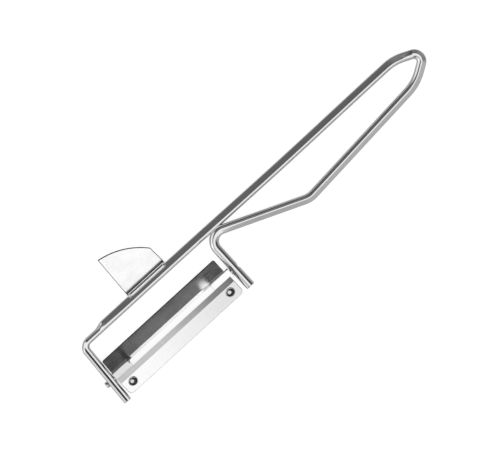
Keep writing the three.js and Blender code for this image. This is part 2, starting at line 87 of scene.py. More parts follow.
# The wire's outer side is rolled nearly flat between two angles above its side: along the arm, round
# the tip and along the return. The legs and the pressed part of the arm stay round. The blend at the
# flat's edges is worked out up to FLAT_REACH radians past them. The flat turns to the tip's angles
# between two lengths before the tip.
ROUND_DEG = (66, 72)
ARM_FLAT_DEG = (35, 111)
ARM_END_FLAT_DEG = (37, 112)
TIP_FLAT_DEG = (24, 78)
RETURN_FLAT_DEG = (5, 85)
FLAT_BULGE = 0.02
FLAT_BLEND = 0.03
FLAT_REACH = 0.6
TIP_TURN_FROM = 3.7
TIP_TURN_TO = 2.9

# The pressed part of the arm has a facet on top that tips outwards, and a steep face below it.
FACET_HEIGHT = 1.78
FACET_START = -0.65
FACET_END = 0.3
FACET_FALL = 0.36
FACET_DROP = 1.7

# The left leg's upper side falls from a crest to a ledge along its inner side.
LEDGE_HEIGHT = 1.47
LEDGE_START = -0.6
LEDGE_FALL_WIDTH = 0.85
LEDGE_FALL = 0.42

# The pivot axis and its pins.
PIVOT_DROP = 18.2
PIN_RADIUS = 1.0
PIN_HOLE_CLEARANCE = 0.1
DRILL_LENGTH = 10
DRILL_SIDES = 48
PIN_HEAD_RADIUS = 1.6
PIN_HEAD_HEIGHT = 0.6
PIN_HEAD_ROUNDING = 0.3
LEFT_PIN_PROUD = 1.2
PIN_PEEN = 0.28
RIGHT_PIN_RECESS = 0.3
PIN_ROUNDING = 0.4

# The blade carrier, across the pivot axis: plus towards the blade, minus towards the arm.
CARRIER_THICKNESS = 0.8
BAR_EDGE = 8.2
BAR_CREST = 2.2
BAR_CREST_RADIUS = 1.4
BAR_CROWN = 0.12
BAR_SLOPE_DEG = 25
BAR_LIP_DEG = 22
BAR_CORNER_RADIUS = 0.7
SLOT_EDGE = 1.4
RIDGE_OFFSET = 1.4
RIDGE_HEIGHT = 4.24
RIDGE_RADIUS = 3.0
FLANK_DEG = 32
PLATE_DEG = 27
WINDOW_EDGE = 3.6
FLANGE_EDGE = 8.6
EAR_HALF_WIDTH = 2.1
EAR_DROP = 1.65
EAR_GAP = 0.25
EAR_SWEEP = 3
EAR_BURY = 0.44
EAR_HOLE_CLEARANCE = 0.06
EAR_ROUND_STEPS = 24
EAR_TOP_STEPS = 16
FLANK_SETBACK_LEFT = 0.25
FLANK_SETBACK_RIGHT = 1.75
SLOT_START = 8.45
SLOT_LENGTH = 43.1
BAR_RAMP_LEFT = 2.9
BAR_RAMP_RIGHT = 5.6
BAR_RAMP_LEAD = 1.0
BAR_FADE = 1.6
SLOT_CORNER_RADIUS = 0.9

# How finely the carrier is divided: along it between its rounded corners, at a corner, along the right
# end tab, and across it from the bar's edge to the flange's.
STEPS_ALONG = (8, 6, 18, 24, 24, 6, 8)
CORNER_STEPS = 3
TAB_STEPS = 4
STEPS_ACROSS = (1, 13, 10, 6, 10, 4, 4, 8)

# The cutting blade and its rivets.
BLADE_THICKNESS = 0.8
BLADE_WIDTH = 8.7
BLADE_EDGE = 1.05
BLADE_SETBACK_LEFT = 0.1
BLADE_SETBACK_RIGHT = 1.25
BLADE_CORNER_RADIUS = 1.8
BLADE_CORNER_STEPS = 10
BEVEL_WIDTH = 2.2
EDGE_LAND = 0.05
LAYER_GAP = 0.02
RIVET_SETBACK = 4.7
RIVET_INSET_LEFT = 4.15
RIVET_INSET_RIGHT = 4.1
RIVET_SHANK_RADIUS = 1.1
RIVET_HOLE_CLEARANCE = 0.03
RIVET_HEAD_RADIUS = 2.0
RIVET_HEAD_SIDE = 0.1
RIVET_HEAD_ROUNDING = 0.3
RIVET_TAIL_RADIUS = 1.7
RIVET_TAIL_FLAT_RADIUS = 1.19
RIVET_TAIL_HEIGHT = 0.5
RIVET_TAIL_ROUNDING = 0.25
RIVET_RIM = 0.32
RIVET_BOSS_RADIUS = 0.95
RIVET_BOSS_SIDE = 0.02
RIVET_BOSS_ROUNDING = 0.3
RIVET_BOSS_START_DEG = 20
RIVET_BOSS_TOP = 0.34
RIVET_BOSS_SHIFT = 0.4
RIVET_SPIN_DEG = -42

# The recess in a rivet's head: distances in from its rim, then out from its boss, each with a height.
RECESS_FROM_RIM = ((0, 0.36), (0.1, 0.16), (0.2, 0.05))
RECESS_FROM_BOSS = ((0.1, 0.03), (0, 0.1))

# Turned pieces: their sides, the steps of an arc, and the angle past which an edge stays sharp.
TURNED_SIDES = 72
ARC_STEPS = 8
TURNED_SHARP_DEG = 50

# The eye remover.
FIN_THICKNESS = 0.75
FIN_START = 26.4
FIN_WIDTH = 19.4
FIN_TIP_INSET = 0.9
FIN_TIP_REACH = 20.2
FIN_SIDE_INSET = 0.3
FIN_SIDE_REACH = 10.2
FIN_BULGE = 1.9
FIN_RISE_DEG = 25
FLANGE_TOP_DEG = 61
FLANGE_FOLD_DEG = 5
FLANGE_GAP = 0.05
FOLD_RADIUS = 0.9
FLANGE_EDGE_WIDTH = 0.42
FLANGE_EDGE_LIFTS = (-0.3, 0.35, 0.72, 0.92)
FLANGE_STEPS = 12
FOLD_STEPS = 12
FIN_COLUMNS = 12
FIN_ARC_STEPS = 36

# Edges of the sheet pieces are broken by this much. A margin along the bar's edge takes the dark edge
# material on its upper face, as painted shade.
SHEET_EDGE_BREAK = 0.16
FIN_EDGE_BREAK = 0.24
BREAK_STEPS = 3
BAR_MARGIN = 0.4

# The picture: its width in pixels, what a pixel covers, and how the arm lies in it.
IMAGE_WIDTH = 500
MM_PER_PIXEL = 0.39
ARM_TILT_DEG = 42.4
CENTRE_ALONG_ARM = 78.1
CENTRE_ACROSS_ARM = -11.97
CAMERA_DISTANCE = 1.25
CAMERA_REACH = 20
SENSOR_WIDTH = 36

# The light: a soft box overhead. On each axis it has a low and a high angle from straight up, each with
# the width of its soft edge. Directions lower than LEAST_UP count as that high. Around the floor are
# dim walls, paler near the horizon.
LEAST_UP = 0.02
BOX_LEVEL = 1.08
BOX_SIDES_DEG = (("X", -10, 50, 18, 20), ("Y", -69, 5, 8, 12))
WALL_LEVEL = 0.03
WALL_FOOT = 0.24
WALL_TOP = 0.42
HORIZON_LEVEL = 0.2

# Glows on the walls: a direction, the cosines from it where the glow starts and is full, and its level.
WALL_GLOW = (
    ((0.2, -1, 0.3), 0.6, 0.92, 0.36),
    ((-1, 0, 0.15), 0.88, 0.97, 0.55),
    ((-0.89, 0, 0.45), 0.8, 0.97, 0.42),
    ((0, 0.9, 1), 0.94, 0.99, 0.12),
    ((0.5, 0.75, 1), 0.955, 0.985, 0.2),
    ((1, 0, 0.3), 0.85, 0.97, 0.1),
    ((-1, 1, 0.63), 0.82, 0.93, 0.95),
)

# The floor: its own tone, and what it adds where it is seen and where it is mirrored.
FLOOR_SIZE = 8
FLOOR_TONE = 0.42
FLOOR_LIFT = 0.84
FLOOR_MIRRORED = 0.26

# Places along the arm that follow from the sizes above.
shoulder_x = LEFT_CORNER_RADIUS + PRESSED_ARM_LENGTH
lean_slope = math.tan(math.radians(LEFT_LEG_LEAN_DEG))
left_leg_x = -PIVOT_DROP * lean_slope
left_ear_x = left_leg_x + WIRE_RADIUS + EAR_GAP + EAR_SWEEP * lean_slope
right_ear_x = LEG_SPACING - WIRE_RADIUS - EAR_GAP
flank_left_x = left_ear_x + FLANK_SETBACK_LEFT
flank_right_x = right_ear_x - FLANK_SETBACK_RIGHT
slot_left_x = left_ear_x + SLOT_START
slot_right_x = slot_left_x + SLOT_LENGTH
blade_left_x = left_ear_x + BLADE_SETBACK_LEFT
blade_right_x = right_ear_x - BLADE_SETBACK_RIGHT
rivet_left_x = blade_left_x + RIVET_INSET_LEFT
rivet_right_x = blade_right_x - RIVET_INSET_RIGHT

# Where the drawing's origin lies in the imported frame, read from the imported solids.
fin_low, fin_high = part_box("eye_remover")
frame_low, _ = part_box("handle_frame")
ORIGIN = Vector(
    (
        fin_low.x / MM - FIN_START,
        fin_high.y / MM - FIN_TIP_REACH,
        frame_low.z / MM + WIRE_RADIUS,
    )
)


def to_frame(point):
    """A point of the drawing, in millimetres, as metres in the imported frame."""
    return (Vector(point) + ORIGIN) * MM


def spread(start, end, count):
    """count + 1 evenly spaced values, both ends included."""
    return [start + (end - start) * k / count for k in range(count + 1)]


def smooth_share(value, low, high):
    """Rises smoothly from 0 to 1 between two values."""
    share = min(max((value - low) / (high - low), 0), 1)
    return share * share * (3 - 2 * share)


def joined(*lists):
    """Lists of rising values run together, with repeats left out."""
    values = []
    for part in lists:
        values += [v for v in part if not values or v > values[-1] + LEAST_STEP]
    return values


def divided(marks, steps):
    """Values from the first mark to the last, with a number of even steps between each two."""
    return joined(*(spread(*stretch) for stretch in zip(marks, marks[1:], steps)))


def make_object(name, bm, materials, body, node):
    """Turns a bmesh into a finished piece that rides on a body in a node's place."""
    bmesh.ops.recalc_face_normals(bm, faces=bm.faces)
    mesh = bpy.data.meshes.new(name)
    bm.to_mesh(mesh)
    bm.free()
    for material in materials:
        mesh.materials.append(material)
    for polygon in mesh.polygons:
        polygon.use_smooth = True
    piece = bpy.data.objects.new(name, mesh)
    bpy.context.scene.collection.objects.link(piece)
    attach(piece, body)
    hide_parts(node)
    return piece


def bevel_weighted(piece, width, material_index):
    """Rounds the edges that carry a bevel weight, and gives the rounding the material in a slot: the dark
    edge material, painted shade.
    """
    modifier = piece.modifiers.new("edge_break", "BEVEL")
    modifier.limit_method = "WEIGHT"
    modifier.width = width * MM
    modifier.segments = BREAK_STEPS
    modifier.use_clamp_overlap = True
    modifier.material = material_index


def apply_modifiers(piece):
    """Replaces a piece's mesh by its modified one."""
    depsgraph = bpy.context.evaluated_depsgraph_get()
    mesh = bpy.data.meshes.new_from_object(piece.evaluated_get(depsgraph), depsgraph=depsgraph)
    piece.modifiers.clear()
    piece.data = mesh


def flatten_normals(piece):
    """Keeps broad faces flat in the shading, and the rounded edges beside them smooth."""
    modifier = piece.modifiers.new("even_shading", "WEIGHTED_NORMAL")
    modifier.keep_sharp = True
    apply_modifiers(piece)


def sharpen(piece, angle_deg):
    """Keeps edges sharp in the shading where they turn by more than an angle."""
    piece.data.set_sharp_from_angle(angle=math.radians(angle_deg))


# Wire


def bent_line(corners):
    """Points along a line with round bends. A corner is (x, y, radius), radius 0 where it ends."""
    points = []
    for i, (x, y, radius) in enumerate(corners):
        here = Vector((x, y))
        if not radius:
            points.append(here)
            continue
        back = (Vector(corners[i - 1][:2]) - here).normalized()
        ahead = (Vector(corners[i + 1][:2]) - here).normalized()
        half = back.angle(ahead) / 2
        centre = here + (back + ahead).normalized() * (radius / math.sin(half))
        first = here + back * (radius / math.tan(half)) - centre
        side = back.x * ahead.y - back.y * ahead.x
        turn = -math.copysign(math.pi - 2 * half, side)
        steps = math.ceil(abs(turn) / math.radians(BEND_STEP_DEG))
        for angle in spread(0, turn, steps):
            points.append(centre + Matrix.Rotation(angle, 2) @ first)
    return points


def fill_straights(points):
    """Adds points so that no step is longer than STRAIGHT_STEP."""
    filled = [points[0]]
    for start, end in zip(points, points[1:]):
        count = max(1, math.ceil((end - start).length / STRAIGHT_STEP))
        filled += [start.lerp(end, k / count) for k in range(1, count + 1)]
    return filled


def round_ends(points):
    """Adds close points at both ends, for the rounding of the cut ends."""
    first = (points[1] - points[0]).normalized()
    last = (points[-2] - points[-1]).normalized()
    start = [points[0] + first * END_ROUNDING * s for s in (*END_RING_SHARES, 1)]
    end = [points[-1] + last * END_ROUNDING * s for s in (1, *reversed(END_RING_SHARES))]
    return [points[0], *start, *points[1:-1], *end, points[-1]]


def wire_line():
    """Points along the wire's centre line, from the left leg's end to the right leg's."""
    bend_half = math.radians(90 - NECK_ANGLE_DEG) / 2
    contact = 2 * WIRE_RADIUS - WELD_SINK
    bend_y = WELD_BEND_RADIUS + contact - WELD_BEND_RADIUS / math.tan(bend_half)
    knee_x = LEG_SPACING + KNEE_DISTANCE
    knee_y = bend_y + KNEE_DISTANCE * math.tan(math.radians(NECK_ANGLE_DEG))
    corners = [
        (-LEFT_LEG_LENGTH * lean_slope, -LEFT_LEG_LENGTH, 0),
        (0, 0, LEFT_CORNER_RADIUS),
        *((x, 0, 0) for x in spread(shoulder_x - SHOULDER_LENGTH, shoulder_x, SHOULDER_STEPS)),
        (ARM_LENGTH, 0, LOOP_START_RADIUS),
        (ARM_LENGTH + TIP_REACH, -TIP_OFFSET, TIP_RADIUS),
        (ARM_LENGTH + RETURN_START, -RETURN_OFFSET, RETURN_RADIUS),
        (knee_x, -knee_y, KNEE_RADIUS),
        (LEG_SPACING, -bend_y, WELD_BEND_RADIUS),
        (LEG_SPACING, -RIGHT_LEG_LENGTH, 0),
    ]
    return [bowed(point) for point in round_ends(fill_straights(bent_line(corners)))]


def bowed(point):
    """The arm's middle bows a little towards the return."""
    share = min(max((point.x - ARM_BOW_START) / (ARM_BOW_END - ARM_BOW_START), 0), 1)
    on_arm = point.y > -WIRE_RADIUS
    return point - Vector((0, ARM_BOW * math.sin(math.pi * share) ** 2 if on_arm else 0))


def soft_least(first, second, blend):
    """The lesser of two lengths, with the change from one to the other rounded off."""
    share = math.exp(-abs(first - second) / blend)
    return min(first, second) - blend * math.log(1 + share)


def wire_section(angle, pressed, flat, on_leg, on_facet):
    """The wire's section at an angle from its outer side: (sideways, up), in millimetres."""
    middle = math.radians((flat[0] + flat[1]) / 2)
    half = math.radians((flat[1] - flat[0]) / 2)
    reach = WIRE_RADIUS
    past_middle = math.remainder(angle - middle, 2 * math.pi)
    if abs(past_middle) < half + FLAT_REACH:
        chord = WIRE_RADIUS * math.cos(half) / math.cos(past_middle)
        bulged = chord + (WIRE_RADIUS - chord) * FLAT_BULGE
        reach = soft_least(bulged, WIRE_RADIUS, FLAT_BLEND)
    side = reach * math.cos(angle)
    if side > 0:
        side *= 1 - pressed / WIRE_RADIUS
    up = reach * math.sin(angle)
    ledge = LEDGE_HEIGHT + LEDGE_FALL * min(max(side - LEDGE_START, 0), LEDGE_FALL_WIDTH)
    facet = FACET_HEIGHT - FACET_FALL * max(side - FACET_START, 0) - FACET_DROP * max(side - FACET_END, 0)
    return side, up + min(ledge - up, 0) * on_leg + min(facet - up, 0) * on_facet


def flat_stages(tip_at, total):
    """Lengths of wire and the angles between which its flat lies there."""
    shoulder = LEFT_LEG_LENGTH + shoulder_x
    right_leg = total - RIGHT_LEG_LENGTH
    return (
        (shoulder - SHOULDER_LENGTH, ROUND_DEG),
        (shoulder, ARM_FLAT_DEG),
        (tip_at - 2 * TIP_REACH, ARM_END_FLAT_DEG),
        (tip_at - TIP_TURN_FROM, ARM_END_FLAT_DEG),
        (tip_at - TIP_TURN_TO, TIP_FLAT_DEG),
        (tip_at + TIP_REACH, RETURN_FLAT_DEG),
        (right_leg - 2 * WELD_BEND_RADIUS, RETURN_FLAT_DEG),
        (right_leg + WELD_BEND_RADIUS, ROUND_DEG),
    )


def flat_at(stages, travelled):
    """The flat's angles after a length of wire, between those of the stages beside it."""
    if travelled <= stages[0][0]:
        return stages[0][1]
    for (start, before), (end, after) in zip(stages, stages[1:]):
        if travelled < end:
            share = smooth_share(travelled, start, end)
            return tuple(a + (b - a) * share for a, b in zip(before, after))
    return stages[-1][1]


def press_depth(point):
    """How far the wire's outer side is pressed in, on the left leg and up to the shoulder on the arm."""
    on_arm = smooth_share(point.y, -LEFT_CORNER_RADIUS, 0)
    depth = PRESSED_LEG_DEPTH + (PRESSED_ARM_DEPTH - PRESSED_LEG_DEPTH) * on_arm
    return depth * (1 - smooth_share(point.x, shoulder_x - SHOULDER_LENGTH, shoulder_x))


def build_wire(material):
    """The handle's wire: its section swept along the centre line, with the pins' holes in both legs."""
    points = wire_line()
    bm = bmesh.new()
    uv = bm.loops.layers.uv.new("along_and_round")
    lengths = [0]
    for start, end in zip(points, points[1:]):
        lengths.append(lengths[-1] + (end - start).length)
    total = lengths[-1]
    tip_at = max(zip(points, lengths), key=lambda pair: pair[0].x)[1]
    stages = flat_stages(tip_at, total)
    corner = LEFT_LEG_LENGTH - LEFT_CORNER_RADIUS
    rings = []
    for i, point in enumerate(points):
        way = Vector((0, 0))
        if i:
            way += (point - points[i - 1]).normalized()
        if i < len(points) - 1:
            way += (points[i + 1] - point).normalized()
        way.normalize()
        pressed = press_depth(point)
        flat = flat_at(stages, lengths[i])
        on_leg = 1 - smooth_share(lengths[i], corner, corner + 2 * LEFT_CORNER_RADIUS)
        on_facet = (1 - on_leg) * pressed / PRESSED_ARM_DEPTH
        to_end = min(lengths[i], total - lengths[i])
        inset = max(END_ROUNDING - to_end, 0)
        shrink = END_ROUNDING - math.sqrt(max(END_ROUNDING**2 - inset**2, 0))
        scale = 1 - shrink / WIRE_RADIUS
        ring = []
        for k in range(WIRE_SIDES):
            side, up = wire_section(2 * math.pi * k / WIRE_SIDES, pressed, flat, on_leg, on_facet)
            place = (point.x - way.y * side * scale, point.y + way.x * side * scale, up * scale)
            ring.append(bm.verts.new(to_frame(place)))
        rings.append(ring)
    for i in range(len(rings) - 1):
        for k in range(WIRE_SIDES):
            n = (k + 1) % WIRE_SIDES
            face = bm.faces.new((rings[i][k], rings[i][n], rings[i + 1][n], rings[i + 1][k]))
            corners = ((i, k), (i, k + 1), (i + 1, k + 1), (i + 1, k))
            for loop, (row, turn) in zip(face.loops, corners):
                loop[uv].uv = (lengths[row] / total, turn / WIRE_SIDES)
    bm.faces.new(rings[0])
    bm.faces.new(rings[-1])
    piece = make_object("wire_frame", bm, [material], "handle", "handle_frame")
    legs = [((x, -PIVOT_DROP, 0), (1, 0, 0)) for x in (left_leg_x, LEG_SPACING)]
    drill(piece, legs, PIN_RADIUS + PIN_HOLE_CLEARANCE)
    sharpen(piece, WIRE_SHARP_DEG)


def drill(piece, holes, radius):
    """Cuts round holes through a piece. A hole is its centre and the direction of its axis."""
    bm = bmesh.new()
    for centre, axis in holes:
        turn = Vector(axis).to_track_quat("Z", "Y").to_matrix().to_4x4()
        bmesh.ops.create_cone(
            bm,
            cap_ends=True,
            segments=DRILL_SIDES,
            radius1=radius * MM,
            radius2=radius * MM,
            depth=DRILL_LENGTH * MM,
            matrix=Matrix.Translation(to_frame(centre)) @ turn,
        )
    mesh = bpy.data.meshes.new("drills")
    bm.to_mesh(mesh)
    bm.free()
    drills = bpy.data.objects.new("drills", mesh)
    bpy.context.scene.collection.objects.link(drills)
    cut = piece.modifiers.new("holes", "BOOLEAN")
    cut.operation = "DIFFERENCE"
    cut.solver = "EXACT"
    cut.use_self = True
    cut.object = drills
    apply_modifiers(piece)
    bpy.data.objects.remove(drills)


# Sheet pieces


def sheet_bmesh(columns, rows, top, under, filled, on_margin, uv_at):
    """A closed bent sheet on a grid of cells, with its rims ready for an edge break.

    filled says which cells exist, and on_margin which rows take the rims' dark edge material, painted
    shade, on their upper face.
    """
    bm = bmesh.new()
    uv = bm.loops.layers.uv.new("flat")
    weight = bm.edges.layers.float.new("bevel_weight_edge")
    vertices = {}

    def vertex(i, j, face):
        key = (i, j, face)
        if key not in vertices:
            point = top(columns[i], rows[j]) if face else under(columns[i], rows[j])
            vertices[key] = bm.verts.new(to_frame(point))
        return vertices[key]

    def has(i, j):
        inside = 0 <= i < len(columns) - 1 and 0 <= j < len(rows) - 1
        return inside and filled(mid(columns, i), mid(rows, j))

    def mid(values, k):
        return (values[k] + values[k + 1]) / 2

    def add(corners, slot):
        face = bm.faces.new([vertex(*corner) for corner in corners])
        face.material_index = slot
        for loop, (i, j, _) in zip(face.loops, corners):
            loop[uv].uv = uv_at(columns[i], rows[j])

    rims = []
    for i in range(len(columns) - 1):
        for j in range(len(rows) - 1):
            if not has(i, j):
                continue
            cell = [(i, j), (i, j + 1), (i + 1, j + 1), (i + 1, j)]
            add([(a, b, True) for a, b in cell], 1 if on_margin(mid(rows, j)) else 0)
            add([(a, b, False) for a, b in reversed(cell)], 0)
            beside = [(i - 1, j), (i, j + 1), (i + 1, j), (i, j - 1)]
            for k, place in enumerate(beside):
                if has(*place):
                    continue
                p, q = cell[k], cell[(k + 1) % 4]
                # Rims take slot 1, the dark edge material: painted shade.
                add([(*q, True), (*p, True), (*p, False), (*q, False)], 1)
                rims.append((p, q))
    for p, q in rims:
        for face in (True, False):
            edge = bm.edges.get((vertices[(*p, face)], vertices[(*q, face)]))
            edge[weight] = 1
    return bm


def roof(ridge_at, ridge_height, radius, left_deg, right_deg):
    """Height and slope of a roof with a rounded ridge, as a function of the distance across it."""
    left, right = math.radians(left_deg), math.radians(right_deg)
    reach = radius * math.tan((left + right) / 2)
    start = ridge_at - reach * math.cos(left)
    end = ridge_at + reach * math.cos(right)
    centre_at = start + radius * math.sin(left)
    centre_height = ridge_height - reach * math.sin(left) - radius * math.cos(left)

    def section(at):
        if at <= start:
            return ridge_height + (at - ridge_at) * math.tan(left), math.tan(left)
        if at >= end:
            return ridge_height - (at - ridge_at) * math.tan(right), -math.tan(right)
        rise = math.sqrt(radius * radius - (at - centre_at) ** 2)
        return centre_height + rise, -(at - centre_at) / rise

    return section


end_roof = roof(-RIDGE_OFFSET, RIDGE_HEIGHT, RIDGE_RADIUS, FLANK_DEG, PLATE_DEG)
bar_rise = (BAR_EDGE - BAR_CREST) * math.tan(math.radians(BAR_SLOPE_DEG))
bar_roof = roof(
    -BAR_CREST, end_roof(-BAR_EDGE)[0] + bar_rise, BAR_CREST_RADIUS, BAR_SLOPE_DEG, BAR_LIP_DEG
)


def corner_cut(x, low, high, radius):
    """How much a rounded corner takes off a side, near either end of a plate."""
    from_end = min(x - low, high - x)
    if from_end >= radius:
        return 0
    return radius - math.sqrt(max(radius**2 - (radius - from_end) ** 2, 0))


def round_slot_corners(x, at):
    """Draws the slot's end edges inwards near its corners on the bar's side."""
    cut = corner_cut(at, -SLOT_EDGE, WINDOW_EDGE, SLOT_CORNER_RADIUS) if at >= -SLOT_EDGE else 0
    for end, inwards in ((slot_left_x, 1), (slot_right_x, -1)):
        near = 1 - smooth_share(abs(x - end), 0, 2 * SLOT_CORNER_RADIUS)
        x += inwards * cut * near
    return x


def carrier_point(x, at, depth):
    """A point on the carrier's section at x, sunk by depth below its upper face."""
    if at < -SLOT_EDGE and flank_left_x <= x <= flank_right_x:
        cut = corner_cut(x, flank_left_x, flank_right_x, BAR_CORNER_RADIUS)
        at = -SLOT_EDGE + (at + SLOT_EDGE) * (1 - cut / (BAR_EDGE - SLOT_EDGE))
    end_height, end_slope = end_roof(at)
    bar_height, bar_slope = bar_roof(at)
    share = smooth_share(x - slot_left_x + BAR_RAMP_LEAD, 0, BAR_RAMP_LEFT)
    share *= smooth_share(slot_right_x - x + BAR_RAMP_LEAD, 0, BAR_RAMP_RIGHT)
    share *= 1 - smooth_share(at, -SLOT_EDGE, -SLOT_EDGE + BAR_FADE)
    across = min(max((at + BAR_EDGE) / (BAR_EDGE - BAR_CREST), 0), 1)
    # The crown is a parabola across the bar, with its full height halfway.
    crown = BAR_CROWN * share * 4 * across * (1 - across)
    crown_slope = BAR_CROWN * share * 4 * (1 - 2 * across) / (BAR_EDGE - BAR_CREST)
    x = round_slot_corners(x, at)
    height = end_height + (bar_height - end_height) * share + crown
    on_slope = 0 < across < 1
    tilt = math.atan(end_slope + (bar_slope - end_slope) * share + (crown_slope if on_slope else 0))
    return x, -PIVOT_DROP - at - depth * math.sin(tilt), height - depth * math.cos(tilt)


def carrier_filled(x, at):
    """Whether the carrier has sheet at a place: the end tabs are narrow, and the slot is open."""
    if x < flank_left_x or x > flank_right_x:
        return abs(at) < EAR_HALF_WIDTH
    over_slot = slot_left_x < x < slot_right_x
    return not (over_slot and -SLOT_EDGE < at < WINDOW_EDGE)


def corner_columns(low, high, radius):
    """Close columns at both ends of a plate, for its rounded corners."""
    steps = [radius * (1 - math.cos(math.radians(a))) for a in spread(0, 90, CORNER_STEPS)]
    return [low + s for s in steps], [high - s for s in reversed(steps)]


def build_carrier(materials):
    """The carrier: a bent sheet with the bar, the slot, two drilled ears and the rivets' holes."""
    left_columns, right_columns = corner_columns(flank_left_x, flank_right_x, BAR_CORNER_RADIUS)
    marks_along = (
        flank_left_x + BAR_CORNER_RADIUS,
        slot_left_x - BAR_RAMP_LEAD,
        slot_left_x,
        slot_left_x + BAR_RAMP_LEFT,
        slot_right_x - BAR_RAMP_RIGHT,
        slot_right_x,
        slot_right_x + BAR_RAMP_LEAD,
        flank_right_x - BAR_CORNER_RADIUS,
    )
    columns = joined(
        [left_ear_x],
        left_columns,
        divided(marks_along, STEPS_ALONG),
        right_columns,
        spread(flank_right_x, right_ear_x, TAB_STEPS),
    )
    marks_across = (
        -BAR_EDGE,
        BAR_MARGIN - BAR_EDGE,
        -BAR_CREST - BAR_CREST_RADIUS / 2,
        -EAR_HALF_WIDTH,
        -SLOT_EDGE,
        0,
        EAR_HALF_WIDTH,
        WINDOW_EDGE,
        FLANGE_EDGE,
    )
    # The rims, and the margin along the bar's edge on the upper face, take the dark edge material: painted
    # shade.
    bm = sheet_bmesh(
        columns,
        divided(marks_across, STEPS_ACROSS),
        lambda x, at: carrier_point(x, at, 0),
        lambda x, at: carrier_point(x, at, CARRIER_THICKNESS),
        carrier_filled,
        lambda at: at < BAR_MARGIN - BAR_EDGE,
        lambda x, at: (x / LEG_SPACING, at / LEG_SPACING),
    )
    for x in (left_ear_x + CARRIER_THICKNESS / 2, right_ear_x - CARRIER_THICKNESS / 2):
        add_ear(bm, x)
    piece = make_object("blade_carrier_sheet", bm, materials, "blade_head", "blade_carrier")
    bevel_weighted(piece, SHEET_EDGE_BREAK, 1)
    ears = [((x, -PIVOT_DROP, 0), (1, 0, 0)) for x in (left_ear_x, right_ear_x)]
    drill(piece, ears, PIN_RADIUS + EAR_HOLE_CLEARANCE)
    drill(piece, rivet_holes(), RIVET_SHANK_RADIUS + RIVET_HOLE_CLEARANCE)
    flatten_normals(piece)


def add_ear(bm, x):
    """A pivot ear bent down from the end tab, round below the pivot, centred on x."""
    uv = bm.loops.layers.uv.verify()
    weight = bm.edges.layers.float.verify()
    lower = [math.pi + a for a in spread(0, math.pi, EAR_ROUND_STEPS)]
    outline = [(EAR_HALF_WIDTH * math.cos(a), EAR_DROP * math.sin(a)) for a in lower]
    upper = spread(EAR_HALF_WIDTH, -EAR_HALF_WIDTH, EAR_TOP_STEPS)
    outline += [(at, end_roof(at)[0] - EAR_BURY) for at in upper]
    faces = []
    for side in (-1, 1):
        place = x + side * (CARRIER_THICKNESS / 2 - LAYER_GAP)
        ring = [bm.verts.new(to_frame((place, -PIVOT_DROP - at, up))) for at, up in outline]
        faces.append(ring)
    near, far = faces
    bm.faces.new(near)
    bm.faces.new(list(reversed(far)))
    count = len(outline)
    for k in range(count):
        n = (k + 1) % count
        face = bm.faces.new((near[n], near[k], far[k], far[n]))
        for loop in face.loops:
            loop[uv].uv = (x / LEG_SPACING, k / count)
    for ring in (near, far):
        for k in range(len(lower) - 1):
            bm.edges.get((ring[k], ring[k + 1]))[weight] = 1


# The blade's directions: down its slope, and out of its upper face.
plate_tilt = math.radians(PLATE_DEG)
down_slope = Vector((0, -math.cos(plate_tilt), -math.sin(plate_tilt)))
out_of_plate = Vector((0, -math.sin(plate_tilt), math.cos(plate_tilt)))
edge_height = RIDGE_HEIGHT - (BLADE_EDGE + RIDGE_OFFSET) * math.tan(plate_tilt)
edge_point = Vector((0, -PIVOT_DROP - BLADE_EDGE, edge_height)) + out_of_plate * LAYER_GAP


def blade_point(x, s, height):
    """A point s down the blade's slope, height above its under side."""
    return edge_point + Vector((x, 0, 0)) + down_slope * s + out_of_plate * height


def close_sheet(bm, pairs, rim_slot, soft):
    """Joins the upper and under outlines of a sheet by a rim. soft says which rim edges are rounded."""
    weight = bm.edges.layers.float.new("bevel_weight_edge")
    count = len(pairs)
    rims = []
    for k in range(count):
        here, beyond = pairs[k], pairs[(k + 1) % count]
        rim = bm.faces.new((here[0], here[1], beyond[1], beyond[0]))
        rim.material_index = rim_slot
        rims.append(rim)
        if soft(k):
            for a, b in zip(here, beyond):
                bm.edges.get((a, b))[weight] = 1
    return rims


def lay_out_uv(bm, along, across):
    """Lays the mesh out flat along two directions, for its materials."""
    uv = bm.loops.layers.uv.new("flat")
    for face in bm.faces:
        for loop in face.loops:
            place = loop.vert.co / MM
            loop[uv].uv = (place.dot(along) / LEG_SPACING, place.dot(across) / LEG_SPACING)


def build_blade(materials):
    """The blade: a flat plate with rounded lower corners and a ground bevel along its upper edge."""
    radius = BLADE_CORNER_RADIUS
    turns = [math.radians(a) for a in spread(0, 90, BLADE_CORNER_STEPS)]
    low = BLADE_WIDTH - radius
    corner = [(radius * (1 - math.cos(a)), low + radius * math.sin(a)) for a in turns]
    right = [(blade_right_x - inset, s) for inset, s in corner]
    left = [(blade_left_x + inset, s) for inset, s in reversed(corner)]
    ends = [(blade_left_x, 0), (blade_right_x, 0), (blade_right_x, BEVEL_WIDTH)]
    outline = [*ends, *right, *left, (blade_left_x, BEVEL_WIDTH)]
    bm = bmesh.new()
    pairs = []
    for x, s in outline:
        height = EDGE_LAND if s == 0 else BLADE_THICKNESS
        upper = bm.verts.new(to_frame(blade_point(x, s, height)))
        pairs.append((upper, bm.verts.new(to_frame(blade_point(x, s, 0)))))
    tops = [upper for upper, _ in pairs]
    ground = bm.faces.new((tops[0], tops[1], tops[2], tops[-1]))
    ground.material_index = 1
    bm.faces.new(tops[2:])
    bm.faces.new([under for _, under in reversed(pairs)])
    last = len(outline) - 1
    # The rims take slot 2, the dark edge material: painted shade.
    close_sheet(bm, pairs, 2, lambda k: 2 <= k < last)
    bm.edges.get((tops[2], tops[-1])).smooth = False
    lay_out_uv(bm, Vector((1, 0, 0)), down_slope)
    piece = make_object("blade_plate", bm, materials, "blade_head", "cutting_blade")
    bevel_weighted(piece, SHEET_EDGE_BREAK, 2)
    drill(piece, rivet_holes(), RIVET_SHANK_RADIUS + RIVET_HOLE_CLEARANCE)
    flatten_normals(piece)


